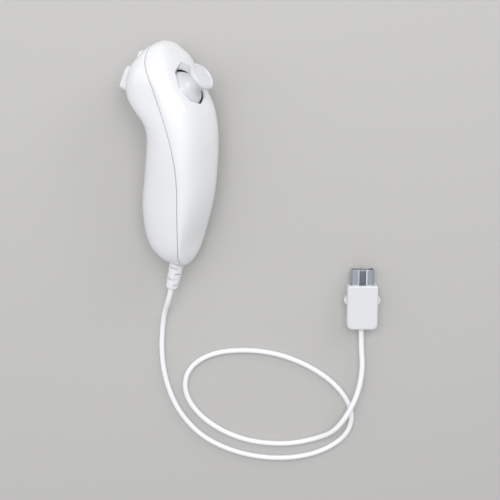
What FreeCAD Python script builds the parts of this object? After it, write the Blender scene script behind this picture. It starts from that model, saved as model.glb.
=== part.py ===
import FreeCAD, Part
import math
import os

# One-handed motion game controller lying on its side on a table: a hand grip with a thumb stick
# on its front and two buttons on the back of its nose, with a thin cord looped on the table and a
# latching plug at its end. Lengths are in millimetres, angles in degrees.
# The grip has a frame of its own: x to the right of the thumb face, y up the grip to the nose,
# z out of the thumb face. Each station of a profile is (y, size), with the nose at PROFILE_NOSE:
# a longer or shorter grip changes between WAIST_LOW and WAIST_HIGH alone.

V = FreeCAD.Vector
X, Y, Z = V(1, 0, 0), V(0, 1, 0), V(0, 0, 1)

# Grip
GRIP_LENGTH = 113.0
PROFILE_NOSE, WAIST_LOW, WAIST_HIGH = 113.0, 30.0, 64.0
HALF_WIDTH = [(0, 14.5), (14, 13.9), (28, 15.7), (42, 16.9), (58, 18.4), (74, 18.8), (86, 18.7),
              (98, 18.8), (113, 18.2)]
FRONT_CROWN = [(0, 2.8), (12, 4.5), (24, 9.1), (36, 13.0), (50, 15.4), (66, 16.6), (76, 15.8),
               (84, 13.3), (92, 9.0), (100, 6.0), (113, 3.2)]
BACK_CROWN = [(0, -22.5), (14, -22.0), (28, -22.2), (40, -20.3), (54, -17.0), (68, -14.2),
              (75, -14.0), (80, -17.3), (86, -22.7), (100, -18.7), (107.4, -13.7), (113, -9.6)]
SEAM_LINE = [(0, -0.2), (14, 2.8), (28, 4.8), (40, 6.6), (52, 7.4), (60, 6.9), (68, 5.6),
             (76, 3.7), (84, 1.4), (92, -1.1), (100, -3.9), (113, -9.5)]
END_MIDDLE = (-2.1, -4.5)
HEEL_REACH, NOSE_REACH = 19.8, 17.2
FRONT_HEEL_REACH, BACK_NOSE_REACH = 15.2, 11.8
FRONT_POWER, NOSE_POWER, BACK_POWER, HOUSING_POWER = 2.55, 3.35, 2.35, 3.4
SHOULDER_STARTS, SHOULDER_FULL = 48.0, 84.0
HOUSING_STARTS, HOUSING_FULL = 66.0, 84.0
WALL = 2.0
SEAM_GAP = 0.4
LIP_HEIGHT, LIP_THICKNESS, LIP_ROOT = 1.3, 0.8, 1.2
LIP_STEP = 0.15
LIP_REACH, LIP_END = 2.0, 4.0

# Clearances
FIT = 0.1
RUN = 0.3

# How the grip lies on the table
ROLL, PITCH, LEAN = 62.3, 3.2, 3.65

# Thumb stick
STICK_LEAN = 32.0
GATE_BELOW_NOSE, GATE_Z = 22.4, 8.3
GATE_RADIUS = 10.25
GATE_DRAFT = 30.0
GATE_COLLAR = 2.4
GATE_CLEARANCE, GATE_SLIT = 1.15, 0.8
PIVOT_DEPTH = 7.0
STICK_RANGE = 15.0
DOME_WALL = 0.8
DOME_ANGLE = 70.0
NECK_RADIUS, NECK_FLARE = 5.2, 0.8
CAP_RADIUS, CAP_HEIGHT, CAP_THICKNESS = 7.1, 10.0, 2.4
CAP_STEP, CAP_RIM, CAP_DISH, CAP_CROWN = 0.45, 1.3, 0.35, 0.35
SHAFT_RADIUS = 1.4
FOOT_RADIUS, FOOT_REACH = 2.4, 4.2
PIN_RADIUS = 0.6

# Stick module, a box below the pivot
MODULE_HALF = 6.7
MODULE_WALL = 0.9
MODULE_TOP, MODULE_FLOOR = 2.9, -8.2
COVER_HOLE = 5.6
JOURNAL_RADIUS = 1.2
ARCH_RADIUS, ARCH_THICKNESS, ARCH_HALF = 3.7, 1.2, 2.4
BLOCK_HALF_X, BLOCK_HALF_Y, BLOCK_HALF_Z = 2.9, 2.4, 1.3
SENSOR_DEPTH, SENSOR_HALF = 2.3, 3.4
SENSOR_TOP, SENSOR_BOTTOM = 2.4, -4.5
WIPER_RADIUS, WIPER_THICKNESS = 2.1, 0.8
SPRING_RADIUS, SPRING_WIRE, SPRING_TURNS = 3.0, 0.45, 3
PLATE_RADIUS, PLATE_THICKNESS = 4.0, 0.7
BOARD = 1.0
STICK_BOARD_HEEL, STICK_BOARD_NOSE = 13.2, 7.6
HEEL_POST = (10.5, -11.0)
NOSE_POST = (13.2, 5.4)
POST_RADIUS = 1.8

# Button deck on the back of the nose
DECK_BELOW_NOSE, DECK_Z, DECK_SLOPE = 15.55, -17.9, 24.1
Z_HALF_WIDTH, Z_LOW, Z_HIGH = 9.0, -9.7, 2.8
Z_HEIGHT_LOW, Z_HEIGHT_HIGH = 6.4, 5.4
Z_CORNER, Z_EDGE = 2.4, 1.5
Z_LIP, Z_LIP_TOP, Z_SKIN, Z_STEM = 0.9, -2.4, 1.4, -4.4
Z_LOW_CLEARANCE = 0.6
Z_SWING = 6.0
C_MIDDLE, C_HALF_WIDTH, C_HALF_LENGTH, C_HEIGHT, C_EDGE = 8.6, 5.6, 2.9, 2.9, 1.3
C_LIP, C_LIP_TOP = 0.7, -3.3
C_TRAVEL = 0.9
BUTTON_LIP_THICKNESS = 0.9
STEM_RADIUS = 1.3
HINGE_P, HINGE_M, HINGE_RADIUS = 3.4, -3.2, 0.8
HINGE_EAR, HINGE_EAR_HALF = 1.6, 2.2
PAD_M, PAD_THICKNESS, DOME_PAD_RADIUS, DOME_PAD_HEIGHT = -7.4, 0.6, 2.8, 1.5
BUTTON_BOARD_HALF, BUTTON_BOARD_TONGUE = 13.8, 7.0
BUTTON_BOARD_LOW, BUTTON_BOARD_HIGH = -9.6, 10.6
BUTTON_POST = (12.0, -1.5)

# Main board and what stands on it
MAIN_BOARD_Z, MAIN_BOARD_HALF = -7.0, 11.5
MAIN_BOARD_LOW, MAIN_BOARD_HIGH = 24.0, 57.0
MAIN_POST_INSET = 2.4
SENSOR_CHIP = (4.0, 4.0, 1.5)
CONTROL_CHIP = (7.0, 7.0, 1.3)
CHIP_Y, MOTION_CHIP_Y = 44.0, 37.0
HEADER = (6.4, 4.0, 3.0)
LOW_HEADER_X, LOW_HEADER_Y, HIGH_HEADER_X, HIGH_HEADER_Y = 3.9, 27.5, 4.2, 54.4

# Screws
SMALL_SCREW, SMALL_HEAD, SMALL_HEAD_HEIGHT, SMALL_SCREW_LENGTH = 0.8, 1.5, 1.1, 4.2
SHELL_SCREW, SHELL_HEAD, SHELL_HEAD_HEIGHT = 1.2, 2.5, 1.8
SHELL_SCREW_Y = (18.0, GRIP_LENGTH - 51.0)
SHELL_SCREW_DEPTH, SHELL_SCREW_GRIP = 5.0, 6.0
BOSS_WALL = 1.4

# Strain relief at the heel
RELIEF_TILT = 18.5
RELIEF_Z = -7.2
RELIEF_TOP, RELIEF_END, RELIEF_LENGTH = 3.75, 3.15, 13.3
RELIEF_SEAT, RELIEF_WALL = 1.2, 3.2
RELIEF_NECK, RELIEF_FLANGE, RELIEF_FLANGE_THICKNESS = 3.0, 3.8, 1.6
RELIEF_CORE = 2.15
SLOT_COUNT, SLOT, SLOT_PITCH, SLOT_FIRST = 4, 1.0, 3.2, 0.6
BRIDGE = 3.4
TAIL_INSIDE = 8.0

# Cord and plug
CORD_RADIUS = 1.35
WIRE_RADIUS = 0.45
PLUG_X, PLUG_Y = 98.4, -85.5
PLUG_WIDTH, PLUG_LENGTH, PLUG_THICKNESS = 15.9, 23.4, 9.6
PLUG_CORNER, PLUG_TOP_CORNER, PLUG_EDGE = 2.8, 1.0, 0.9
PLUG_WALL, PLUG_RIB = 1.5, 1.6
SHELL_WIDTH, SHELL_HEIGHT, SHELL_SHOWS, SHELL_SHEET = 11.5, 5.8, 8.0, 0.4
SHELL_BURIED = 4.6
CHANNEL_WIDTH, CHANNEL_DEPTH = 3.7, 0.5
TONGUE_THICKNESS, TONGUE_HALF, TONGUE_INSET = 1.5, 4.2, 1.2
CONTACT_COUNT, CONTACT_WIDTH, CONTACT_PITCH = 3, 1.0, 2.6
LATCH_LENGTH, LATCH_STICKS_OUT, LATCH_MIDDLE = 4.8, 1.5, 8.1
LATCH_HEIGHT, LATCH_TRAVEL, LATCH_FOOT = 4.6, 1.1, 1.0
LATCH_SPRING_RADIUS, LATCH_SPRING_WIRE, LATCH_SPRING_TURNS = 1.2, 0.3, 4


# Shapes in common use

def box(x, y, z):
    """A box from three (low, high) pairs."""
    return Part.makeBox(x[1] - x[0], y[1] - y[0], z[1] - z[0], V(x[0], y[0], z[0]))


def rod(radius, start, end):
    """A cylinder between two points."""
    return Part.makeCylinder(radius, (end - start).Length, start, end - start)


def tube(outer, inner, start, end):
    return rod(outer, start, end).cut(rod(inner, start, end))


def merged(first, *others):
    return first.fuse(list(others)).removeSplitter()


def at(frame, shape):
    """A copy of a shape, moved from a frame into the one that holds it."""
    moved = shape.copy()
    moved.Placement = frame.multiply(moved.Placement)
    return moved


def outline(x, y, corner, upper):
    """A rectangle in the XY plane as a face; its upper two corners have their own radius."""
    (x0, x1), (y0, y1) = x, y
    c, u = corner, upper
    s, t = c * (1 - math.sqrt(0.5)), u * (1 - math.sqrt(0.5))
    corners = [((x1 - c, y0), (x1 - s, y0 + s), (x1, y0 + c)),
               ((x1, y1 - u), (x1 - t, y1 - t), (x1 - u, y1)),
               ((x0 + u, y1), (x0 + t, y1 - t), (x0, y1 - u)),
               ((x0, y0 + c), (x0 + s, y0 + s), (x0 + c, y0))]
    edges = []
    for i, turn in enumerate(corners):
        start, middle, end = (V(*p, 0) for p in turn)
        edges.append(Part.Arc(start, middle, end).toShape())
        edges.append(Part.LineSegment(end, V(*corners[(i + 1) % 4][0], 0)).toShape())
    return Part.Face(Part.Wire(edges))


def plate(x, y, z, corner, upper=None):
    """A plate with round corners, lying flat."""
    face = outline(x, y, corner, upper or corner)
    face.translate(V(0, 0, z[0]))
    return face.extrude(V(0, 0, z[1] - z[0]))


def spun(edges):
    """A solid of revolution about Z from edges in the XZ plane that close on themselves."""
    return Part.Face(Part.Wire(edges)).revolve(V(), Z, 360)


def chain(points):
    """Edges through (x, z) points in the XZ plane; a point written in a list is the middle of an
    arc between its neighbours."""
    edges = []
    at_xz = lambda p: V(p[0], 0, p[1])
    i = 0
    while i < len(points) - 1:
        if isinstance(points[i + 1], list):
            edges.append(Part.Arc(at_xz(points[i]), at_xz(points[i + 1]), at_xz(points[i + 2])).toShape())
            i += 2
        else:
            edges.append(Part.LineSegment(at_xz(points[i]), at_xz(points[i + 1])).toShape())
            i += 1
    return edges


def upper_edges(shape, height):
    """The edges of a shape that lie at one height."""
    return [e for e in shape.Edges if all(abs(v.Z - height) < 1e-4 for v in e.Vertexes)
            and abs(e.CenterOfMass.z - height) < 1e-3]


def sweep(edges, radius, start, direction):
    """A round tube along a path."""
    ring = Part.Wire(Part.Circle(start, direction, radius).toShape())
    return Part.Wire(edges).makePipeShell([ring], True, False)


def bend_radii(points):
    """The radius of each arc of a route: as large as its two runs allow."""
    radii = []
    for before, here, after in zip(points, points[1:], points[2:]):
        turn = (here - before).getAngle(after - here)
        shorter = min((here - before).Length, (after - here).Length)
        radii.append(0.45 * shorter / math.tan(turn / 2))
    return radii


def route(points):
    """Straight runs joined by tangent arcs, as edges."""
    edges, last = [], points[0]
    for before, here, after in zip(points, points[1:], points[2:]):
        reach = 0.45 * min((here - before).Length, (after - here).Length)
        towards, away = (here - before).normalize(), (after - here).normalize()
        start, end = here - towards * reach, here + away * reach
        radius = reach / math.tan(towards.getAngle(away) / 2)
        inward = (away - towards).normalize()
        to_centre = math.hypot(reach, radius)
        middle = here + inward * (to_centre - radius)
        edges.append(Part.LineSegment(last, start).toShape())
        edges.append(Part.Arc(start, middle, end).toShape())
        last = end
    edges.append(Part.LineSegment(last, points[-1]).toShape())
    return edges


def routed(points, radius):
    """A tube that follows a route."""
    return sweep(route(points), radius, points[0], points[1] - points[0])


def arc_from(start, tangent, end):
    """The arc that leaves a point along a tangent and ends at another point."""
    chord = end - start
    side = tangent - chord * (tangent.dot(chord) / chord.dot(chord))
    swing = tangent.getAngle(chord)
    middle = start + chord * 0.5 + side.normalize() * (chord.Length / 2 * math.tan(swing / 2))
    return Part.Arc(start, middle, end).toShape()


def coil(radius, wire, low, high, turns):
    """A coil spring about Z as one tube on biarcs, and the least gap between its turns."""
    rise = (high - low - wire) / turns
    slope = rise / (2 * math.pi * radius)

    def station(quarter):
        a = quarter * math.pi / 2
        point = V(radius * math.cos(a), radius * math.sin(a), low + wire / 2 + rise * quarter / 4)
        return point, V(-math.sin(a), math.cos(a), slope).normalize()
    edges = []
    for quarter in range(4 * turns):
        (p0, t0), (p1, t1) = station(quarter), station(quarter + 1)
        v, both = p1 - p0, t0 + t1
        spare = 2 * (1 - t0.dot(t1))
        reach = (-v.dot(both) + math.sqrt(v.dot(both) ** 2 + spare * v.dot(v))) / spare
        joint = (p0 + p1 + (t0 - t1) * reach) * 0.5
        edges.append(arc_from(p0, t0, joint))
        edges.append(arc_from(p1, t1 * -1, joint))
    start, direction = station(0)
    return sweep(edges, wire / 2, start, direction), rise - wire


# Body of the grip

def station_of(y):
    """The station in the profiles of a place on the grip, at whatever length the grip is."""
    longer = GRIP_LENGTH - PROFILE_NOSE
    share = (y - WAIST_LOW) / (WAIST_HIGH + longer - WAIST_LOW)
    return y - longer * min(max(share, 0), 1)


def eased(y, start, full):
    """A smooth rise from 0 to 1 between two stations of the profiles."""
    share = min(max((station_of(y) - start) / (full - start), 0), 1)
    return share ** 2 * (3 - 2 * share)


def profile(points, place):
    """A smooth curve through a profile's stations that doesn't overshoot them."""
    y = station_of(place)
    at_y = [p[0] for p in points]
    size = [p[1] for p in points]
    if y <= at_y[0]:
        return size[0]
    if y >= at_y[-1]:
        return size[-1]
    slope = [(size[i + 1] - size[i]) / (at_y[i + 1] - at_y[i]) for i in range(len(points) - 1)]
    lean = [slope[0]]
    for a, b in zip(slope, slope[1:]):
        lean.append(2 * a * b / (a + b) if a * b > 0 else 0.0)
    lean.append(slope[-1])
    i = max(j for j in range(len(points) - 1) if at_y[j] <= y)
    h = at_y[i + 1] - at_y[i]
    t = (y - at_y[i]) / h
    return ((2 * t**3 - 3 * t**2 + 1) * size[i] + (t**3 - 2 * t**2 + t) * h * lean[i]
            + (3 * t**2 - 2 * t**3) * size[i + 1] + (t**3 - t**2) * h * lean[i + 1])


def rounding(y, inset, heel_reach, nose_reach):
    """How much of the full section is left near the two rounded ends."""
    left = 1.0
    for distance, reach in ((y - inset, heel_reach), (GRIP_LENGTH - inset - y, nose_reach)):
        t = max(distance, 0.0) / (reach - inset)
        if t < 1:
            left *= math.sqrt(1 - (1 - t) ** 2)
    return left


def section(y, inset):
    """The measures of the body's cross-section: two half ovals that meet at the widest line."""
    full = rounding(y, inset, HEEL_REACH, NOSE_REACH)
    front_full = rounding(y, inset, FRONT_HEEL_REACH, NOSE_REACH)
    back_full = rounding(y, inset, HEEL_REACH, BACK_NOSE_REACH)
    middle = END_MIDDLE[0] + (END_MIDDLE[1] - END_MIDDLE[0]) * y / GRIP_LENGTH
    half_width = full * (profile(HALF_WIDTH, y) - inset)
    widest = middle + full * (profile(SEAM_LINE, y) - middle)
    front = middle + front_full * (profile(FRONT_CROWN, y) - inset - middle) - widest
    back = widest - middle - back_full * (profile(BACK_CROWN, y) + inset - middle)
    front_power = FRONT_POWER + (NOSE_POWER - FRONT_POWER) * eased(y, SHOULDER_STARTS, SHOULDER_FULL)
    back_power = BACK_POWER + (HOUSING_POWER - BACK_POWER) * eased(y, HOUSING_STARTS, HOUSING_FULL)
    return full, half_width, widest, (front, front_power), (back, back_power)


def oval(y, half_width, widest, side, half, start, end, steps):
    """A smooth edge round part of one half oval, between two angles from the widest line."""
    depth, power = half
    points = []
    for i in range(steps + 1):
        a = start + (end - start) * i / steps
        c, s = math.cos(a), max(math.sin(a), 0.0)
        points.append(V(half_width * math.copysign(abs(c) ** (2 / power), c), y,
                        widest + side * depth * s ** (2 / power)))
    curve = Part.BSplineCurve()
    curve.interpolate(Points=points)
    return curve.toShape()


def angle_at(offset, half):
    """The angle on a half oval at which it stands an offset away from the widest line."""
    depth, power = half
    return math.asin(min(offset / depth, 0.9) ** (power / 2))


def stations(inset):
    angles = [5, 18, 34, 52, 72]
    heel = [inset + (HEEL_REACH - inset) * (1 - math.cos(math.radians(a))) for a in angles]
    nose = [GRIP_LENGTH - inset - (NOSE_REACH - inset) * (1 - math.cos(math.radians(a)))
            for a in reversed(angles)]
    steps = 9
    return heel + [heel[-1] + (nose[0] - heel[-1]) * i / steps for i in range(1, steps)] + nose


def half_body(side, inset, gap):
    """One half of the grip as a solid, from an offset off the widest line outwards."""
    wires = []
    for y in stations(inset):
        full, half_width, widest, front, back = section(y, inset)
        half = front if side > 0 else back
        start = angle_at(gap * min(1, 3 * full), half)
        arc = oval(y, half_width, widest, side, half, start, math.pi - start, 10)
        flat = Part.LineSegment(arc.Vertexes[-1].Point, arc.Vertexes[0].Point).toShape()
        wires.append(Part.Wire([arc, flat]))
    return Part.makeLoft(wires, True, False)


def half_hollow(side, inset, past):
    """The space inside one half, drawn straight on past the widest line."""
    wires = []
    for y in stations(inset):
        full, half_width, widest, front, back = section(y, inset)
        arc = oval(y, half_width, widest, side, front if side > 0 else back, 0, math.pi, 10)
        right, left = V(half_width, y, widest), V(-half_width, y, widest)
        down = Z * (-side * past)
        corners = [left, left + down, right + down, right]
        wires.append(Part.Wire([arc] + [Part.LineSegment(a, b).toShape() for a, b in zip(corners, corners[1:])]))
    return Part.makeLoft(wires, True, False)


def band(inset, low, high):
    """The slice of the grip between two offsets either side of the widest line."""
    wires = []
    for y in stations(inset):
        full, half_width, widest, front, back = section(y, inset)
        share = min(1, 1.5 * full)
        up, down = angle_at(high * share, front), angle_at(low * share, back)
        right_up = oval(y, half_width, widest, 1, front, 0, up, 3)
        left_up = oval(y, half_width, widest, 1, front, math.pi - up, math.pi, 3)
        left_down = oval(y, half_width, widest, -1, back, math.pi, math.pi - down, 3)
        right_down = oval(y, half_width, widest, -1, back, down, 0, 3)
        across = [Part.LineSegment(a.Vertexes[-1].Point, b.Vertexes[0].Point).toShape()
                  for a, b in ((right_up, left_up), (left_down, right_down))]
        wires.append(Part.Wire([right_up, across[0], left_up, left_down, across[1], right_down]))
    return Part.makeLoft(wires, True, False)


def core(inset, tall):
    """A slice through the grip's middle, as wide as the grip less an inset at every height."""
    wires = []
    for y in stations(inset):
        full, half_width, widest, front, back = section(y, inset)
        corners = [V(x, y, widest + z) for x, z in ((half_width, -tall), (half_width, tall),
                                                    (-half_width, tall), (-half_width, -tall))]
        wires.append(Part.makePolygon(corners + corners[:1]))
    return Part.makeLoft(wires, True, False)


# Frames of the grip's parts

LEAN_RAD = math.radians(STICK_LEAN)
STICK_AXIS = V(0, math.sin(LEAN_RAD), math.cos(LEAN_RAD))
PIVOT = V(0, GRIP_LENGTH - GATE_BELOW_NOSE, GATE_Z) - STICK_AXIS * PIVOT_DEPTH
STICK = FreeCAD.Placement(PIVOT, FreeCAD.Rotation(X, -STICK_LEAN))
DECK = FreeCAD.Placement(V(0, GRIP_LENGTH - DECK_BELOW_NOSE, DECK_Z),
                         FreeCAD.Rotation(X, DECK_SLOPE).multiply(FreeCAD.Rotation(Y, 180)))
RELIEF = FreeCAD.Placement(V(0, 0, RELIEF_Z), FreeCAD.Rotation(X, -90 + RELIEF_TILT))
GATE_FLAT = GATE_RADIUS * math.cos(math.pi / 8)
DOME_RADIUS = math.hypot(GATE_FLAT - GATE_CLEARANCE, PIVOT_DEPTH)
MODULE_BOTTOM = MODULE_FLOOR - MODULE_WALL
STICK_BOARD_Z = MODULE_BOTTOM - BOARD


def octagon(radius, height):
    corners = [V(radius * math.sin(k * math.pi / 4), radius * math.cos(k * math.pi / 4), height)
               for k in range(8)]
    return Part.makePolygon(corners + corners[:1])


def gate_opening():
    """The eight-sided opening round the stick, widening outwards from its lower edge."""
    depth = 14.0
    wider = GATE_RADIUS + depth * math.tan(math.radians(GATE_DRAFT))
    cone = Part.makeLoft([octagon(GATE_RADIUS, PIVOT_DEPTH), octagon(wider, PIVOT_DEPTH + depth)], True, True)
    below = Part.Face(octagon(GATE_RADIUS, 0)).extrude(Z * PIVOT_DEPTH)
    return merged(cone, below)


BUTTON_BOARD_M = PAD_M - BOARD
DOME_PAD_TOP = PAD_M + PAD_THICKNESS + DOME_PAD_HEIGHT


def stick_posts():
    """Where the stick's board is screwed: a pair of posts on each side of the dome."""
    return [V(side * x, y, 0) for x, y in (HEEL_POST, NOSE_POST) for side in (-1, 1)]


def button_posts():
    return [V(side * BUTTON_POST[0], BUTTON_POST[1], 0) for side in (-1, 1)]


def main_posts():
    x = MAIN_BOARD_HALF - MAIN_POST_INSET
    return [V(side * x, y, 0) for side in (-1, 1)
            for y in (MAIN_BOARD_LOW + MAIN_POST_INSET, MAIN_BOARD_HIGH - MAIN_POST_INSET)]


def shell_screw_seat(y):
    """The z of the seat under a shell screw's head."""
    return profile(BACK_CROWN, y) + SHELL_SCREW_DEPTH


def screw_tip(y):
    """The z of a shell screw's tip, which stays under the skin of the thumb side."""
    return min(profile(SEAM_LINE, y) + 2.5, profile(FRONT_CROWN, y) - WALL)


def boss_meets(y):
    """The z at which the boss of the thumb side stands on the boss of the back."""
    return profile(SEAM_LINE, y) - SHELL_SCREW_GRIP


def relief_holes():
    """The stepped socket that the strain relief sits in."""
    inside = RELIEF_SEAT + RELIEF_WALL
    return [at(RELIEF, rod(RELIEF_TOP + FIT, Z * -9, Z * RELIEF_SEAT)),
            at(RELIEF, rod(RELIEF_NECK + FIT, Z * -9, Z * 9)),
            at(RELIEF, rod(RELIEF_FLANGE + FIT, Z * inside, Z * (inside + RELIEF_FLANGE_THICKNESS + 2 * FIT)))]


def relief_seat():
    return at(RELIEF, rod(RELIEF_FLANGE + 0.6, Z * 0.2, Z * (RELIEF_SEAT + RELIEF_WALL)))


def front_shell():
    """The thumb side of the grip, with the stick's opening, its posts and the screw bosses."""
    collar = rod(GATE_RADIUS + GATE_COLLAR, Z * (PIVOT_DEPTH - WALL), Z * (PIVOT_DEPTH + 14))
    added = [at(STICK, collar)]
    added += [at(STICK, rod(POST_RADIUS, p + Z * MODULE_BOTTOM, p + Z * 30)) for p in stick_posts()]
    added += [rod(SHELL_SCREW + BOSS_WALL, V(0, y, boss_meets(y)), V(0, y, 30)) for y in SHELL_SCREW_Y]
    under = half_hollow(1, WALL / 2, 40)
    added = [shape.common(under) for shape in added]
    shell = half_body(1, 0, SEAM_GAP / 2).cut(half_hollow(1, WALL, 3))
    shell = shell.fuse(relief_seat().common(half_body(1, WALL / 2, SEAM_GAP / 2)))
    shell = shell.cut(band(WALL - LIP_STEP - LIP_THICKNESS - FIT, 2.0, LIP_HEIGHT + FIT))
    holes = [at(STICK, gate_opening()), at(STICK, Part.makeSphere(DOME_RADIUS + GATE_SLIT))]
    holes += [at(STICK, rod(SMALL_SCREW + FIT / 2, p + Z * (MODULE_BOTTOM - 1), p + Z * (MODULE_BOTTOM + 4)))
              for p in stick_posts()]
    holes += [rod(SHELL_SCREW + FIT / 2, V(0, y, -20), V(0, y, screw_tip(y) + 0.5))
              for y in SHELL_SCREW_Y]
    return shell.fuse(added).cut(holes + relief_holes())


def z_plan(grow):
    return (-Z_HALF_WIDTH - grow, Z_HALF_WIDTH + grow), (Z_LOW - grow, Z_HIGH + grow)


def c_plan(grow):
    return ((-C_HALF_WIDTH - grow, C_HALF_WIDTH + grow),
            (C_MIDDLE - C_HALF_LENGTH - grow, C_MIDDLE + C_HALF_LENGTH + grow))


def button_openings():
    """The openings for both buttons, each with a pocket for the lip round the button's foot."""
    deep = 12.0
    pocket = plate(*z_plan(Z_LIP + RUN), (Z_LIP_TOP - 3, Z_LIP_TOP + RUN), Z_CORNER + Z_LIP + RUN)
    across = (-Z_HALF_WIDTH - RUN, Z_HALF_WIDTH + RUN)
    along = (Z_LOW - Z_LOW_CLEARANCE, Z_HIGH)
    return [plate(*z_plan(RUN), (Z_LIP_TOP - 1, deep), Z_CORNER + RUN),
            plate(across, along, (Z_LIP_TOP - 1, deep), Z_CORNER + RUN),
            pocket.cut(box((-20, 20), (HINGE_P - HINGE_EAR_HALF, 20), (-9, 9))),
            plate(*c_plan(RUN), (C_LIP_TOP - 1, deep), C_HALF_LENGTH + RUN - 0.01),
            plate(*c_plan(C_LIP + RUN), (C_LIP_TOP - 3, C_LIP_TOP + RUN), C_HALF_LENGTH + C_LIP + RUN - 0.01)]


def rear_shell():
    """The back of the grip, with the lip along the seam, both button openings and the posts."""
    shell = half_body(-1, 0, SEAM_GAP / 2).cut(half_hollow(-1, WALL, 3))
    lip_out, lip_in = WALL - LIP_STEP - LIP_THICKNESS, WALL - LIP_STEP
    tongue = band(lip_out, LIP_ROOT, LIP_HEIGHT).cut([band(lip_in, 3.0, 3.0), core(lip_in + LIP_REACH, 3.0)])
    tongue = tongue.common(box((-30, 30), (LIP_END, GRIP_LENGTH - LIP_END), (-40, 40)))
    posts = [at(DECK, rod(POST_RADIUS, p + Z * PAD_M, p)) for p in button_posts()]
    posts += [rod(POST_RADIUS, p + Z * MAIN_BOARD_Z, p - Z * 40) for p in main_posts()]
    for y in SHELL_SCREW_Y:
        seat = shell_screw_seat(y)
        posts.append(rod(SHELL_HEAD + FIT + BOSS_WALL, V(0, y, seat + BOSS_WALL), V(0, y, -40)))
        posts.append(rod(SHELL_SCREW + BOSS_WALL, V(0, y, boss_meets(y) - FIT), V(0, y, seat)))
    posts += [at(DECK, box((s, s + HINGE_EAR), (HINGE_P - HINGE_EAR_HALF, HINGE_P + HINGE_EAR_HALF),
                          (HINGE_M - 2.0, -0.5)))
              for s in (Z_HALF_WIDTH + RUN, -Z_HALF_WIDTH - RUN - HINGE_EAR)]
    within = half_body(-1, WALL / 2, SEAM_GAP / 2)
    added = [tongue] + [shape.common(within) for shape in posts + [relief_seat()]]
    pin = Z_HALF_WIDTH + RUN + HINGE_EAR - 0.2
    holes = button_openings()
    holes.append(rod(HINGE_RADIUS + FIT / 2, V(-pin, HINGE_P, HINGE_M), V(pin, HINGE_P, HINGE_M)))
    holes += [rod(SMALL_SCREW + FIT / 2, p + Z * (PAD_M - 1), p + Z * (PAD_M + 4)) for p in button_posts()]
    holes = [at(DECK, hole) for hole in holes] + relief_holes()
    holes += [rod(SMALL_SCREW + FIT / 2, p + Z * (MAIN_BOARD_Z + 1), p + Z * (MAIN_BOARD_Z - 4))
              for p in main_posts()]
    holes += [rod(SHELL_HEAD + FIT, V(0, y, -40), V(0, y, shell_screw_seat(y))) for y in SHELL_SCREW_Y]
    holes += [rod(SHELL_SCREW + FIT, V(0, y, -40), V(0, y, 20)) for y in SHELL_SCREW_Y]
    return shell.fuse(added).cut(holes)


# Thumb stick and its module, in the stick's own frame with its origin at the pivot

def lens(radius, low, rise):
    """A shallow round crown on a flat floor, sunk a little into it."""
    ball = (radius ** 2 + rise ** 2) / (2 * rise)
    crown = Part.makeSphere(ball, V(0, 0, low + rise - ball), X)
    return crown.common(rod(radius + 0.1, Z * (low - 0.02), Z * (low + rise + 1)))


def thumb_cap():
    """The dome that fills the gate, its neck and the dished cap, in one turned piece."""
    top = PIVOT_DEPTH + CAP_HEIGHT
    under = top - CAP_THICKNESS
    bore = SHAFT_RADIUS + FIT
    on = lambda r, deg: (r * math.sin(math.radians(deg)), r * math.cos(math.radians(deg)))
    neck_start = 36.0
    inside = DOME_RADIUS - DOME_WALL
    inside_end = math.degrees(math.asin(bore / inside))
    sx, sz = on(DOME_RADIUS, neck_start)
    points = [on(inside, DOME_ANGLE), on(DOME_RADIUS, DOME_ANGLE),
              [*on(DOME_RADIUS, (DOME_ANGLE + neck_start) / 2)], (sx, sz),
              [NECK_RADIUS + 0.36 * (sx - NECK_RADIUS), sz + 0.9], (NECK_RADIUS, under - 1.6),
              [NECK_RADIUS + 0.25, under - 0.5], (NECK_RADIUS + NECK_FLARE, under),
              (CAP_RADIUS - 0.9, under), [CAP_RADIUS - 0.2, under + 0.3], (CAP_RADIUS, under + 0.9),
              (CAP_RADIUS, top - CAP_STEP - 0.35), [CAP_RADIUS - 0.1, top - CAP_STEP - 0.1],
              (CAP_RADIUS - 0.35, top - CAP_STEP), (CAP_RADIUS - 0.6, top - CAP_STEP - 0.05),
              (CAP_RADIUS - 0.65, top - 0.2), [CAP_RADIUS - 0.71, top - 0.06], (CAP_RADIUS - 0.85, top),
              (CAP_RADIUS - CAP_RIM, top), [CAP_RADIUS - CAP_RIM - 0.2, top - 0.08],
              (CAP_RADIUS - CAP_RIM - 0.35, top - CAP_DISH / 2), (CAP_RADIUS - CAP_RIM - 0.45, top - CAP_DISH)]
    reach, floor = points[-1]
    points += [(0, floor), (0, top - 3.0), (bore, top - 3.0), on(inside, inside_end),
               [*on(inside, (inside_end + DOME_ANGLE) / 2)], on(inside, DOME_ANGLE)]
    return merged(spun(chain(points)), lens(reach - 0.15, floor, CAP_CROWN))


def stick_shaft():
    """The lever from the cap down to a round foot, with its cross pin at the pivot."""
    top = PIVOT_DEPTH + CAP_HEIGHT - 3.0 - FIT
    rim = -math.sqrt(FOOT_REACH ** 2 - FOOT_RADIUS ** 2)
    foot = Part.makeSphere(FOOT_REACH, V(), X).common(rod(FOOT_RADIUS, Z * (-FOOT_REACH - 1), Z * (rim + 0.8)))
    lever = rod(SHAFT_RADIUS, Z * (rim + 0.4), Z * top)
    pin = rod(PIN_RADIUS, Y * -BLOCK_HALF_Y, Y * BLOCK_HALF_Y)
    return merged(foot, lever, pin)


def journals(along, reach):
    return rod(JOURNAL_RADIUS, along * -reach, along * reach)


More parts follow.
